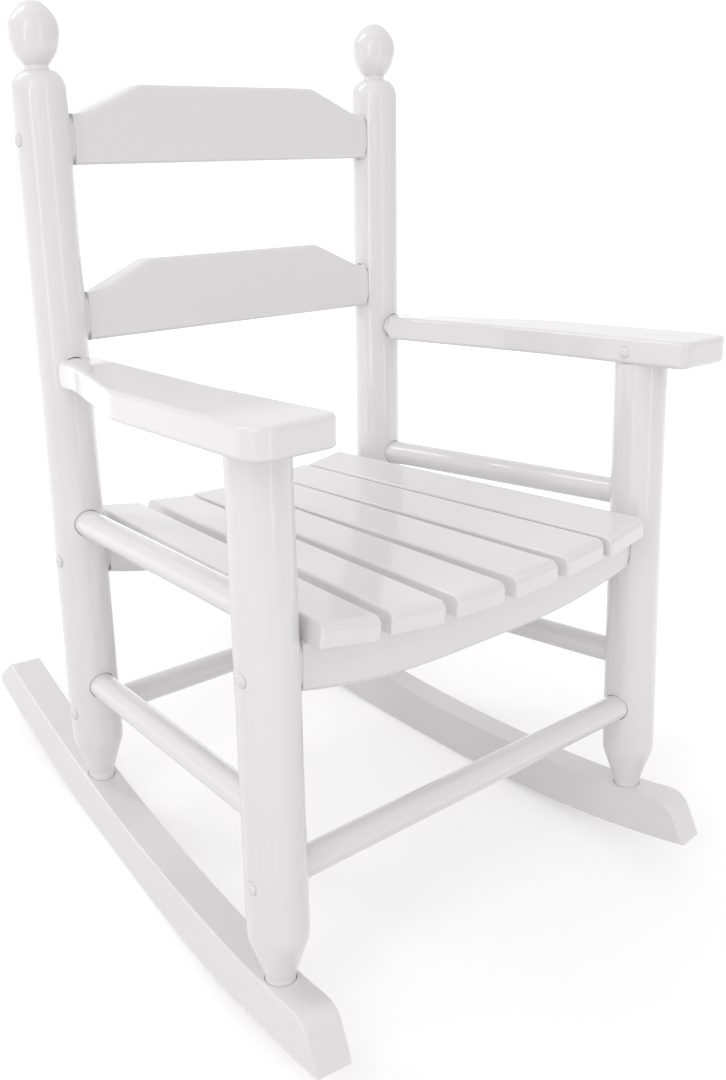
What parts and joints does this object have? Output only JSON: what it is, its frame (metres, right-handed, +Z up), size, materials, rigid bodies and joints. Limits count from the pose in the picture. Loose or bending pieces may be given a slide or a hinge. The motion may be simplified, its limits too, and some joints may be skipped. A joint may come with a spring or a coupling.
{
  "type": "child's rocking chair",
  "caption": "Child's ladder-back rocking chair with arms, ball finials, a dished slat seat and curved runners, in white painted wood.",
  "frame": {"origin": "on the floor, under the middle of the chair's bounding box, with the chair leaned back to where it comes to rest on its runners", "axes": "+Z up, -Y the way the sitter faces, +X to the right of someone who looks at the chair's front"},
  "size_m": [0.427, 0.4734, 0.5665],
  "materials": {
    "painted_wood": "satin white paint on hardwood",
    "zinc_screws": "bright zinc",
    "cap_plastic": "moulded white"
  },
  "bodies": {
    "root": {"rocker_left": "painted_wood", "rocker_right": "painted_wood", "front_post_left": "painted_wood", "front_post_right": "painted_wood", "rear_post_left": "painted_wood", "rear_post_right": "painted_wood", "arm_left": "painted_wood", "arm_right": "painted_wood", "upper_back_slat": "painted_wood", "lower_back_slat": "painted_wood", "front_seat_rail": "painted_wood", "back_seat_rail": "painted_wood", "front_stretcher": "painted_wood", "back_stretcher": "painted_wood", "upper_side_stretcher_left": "painted_wood", "upper_side_stretcher_right": "painted_wood", "lower_side_stretcher_left": "painted_wood", "lower_side_stretcher_right": "painted_wood", "seat_slat_1": "painted_wood", "seat_slat_2": "painted_wood", "seat_slat_3": "painted_wood", "seat_slat_4": "painted_wood", "seat_slat_5": "painted_wood", "seat_slat_6": "painted_wood", "frame_screws": "zinc_screws", "seat_screws": "zinc_screws", "screw_caps": "cap_plastic"}
  },
  "joints": []
}
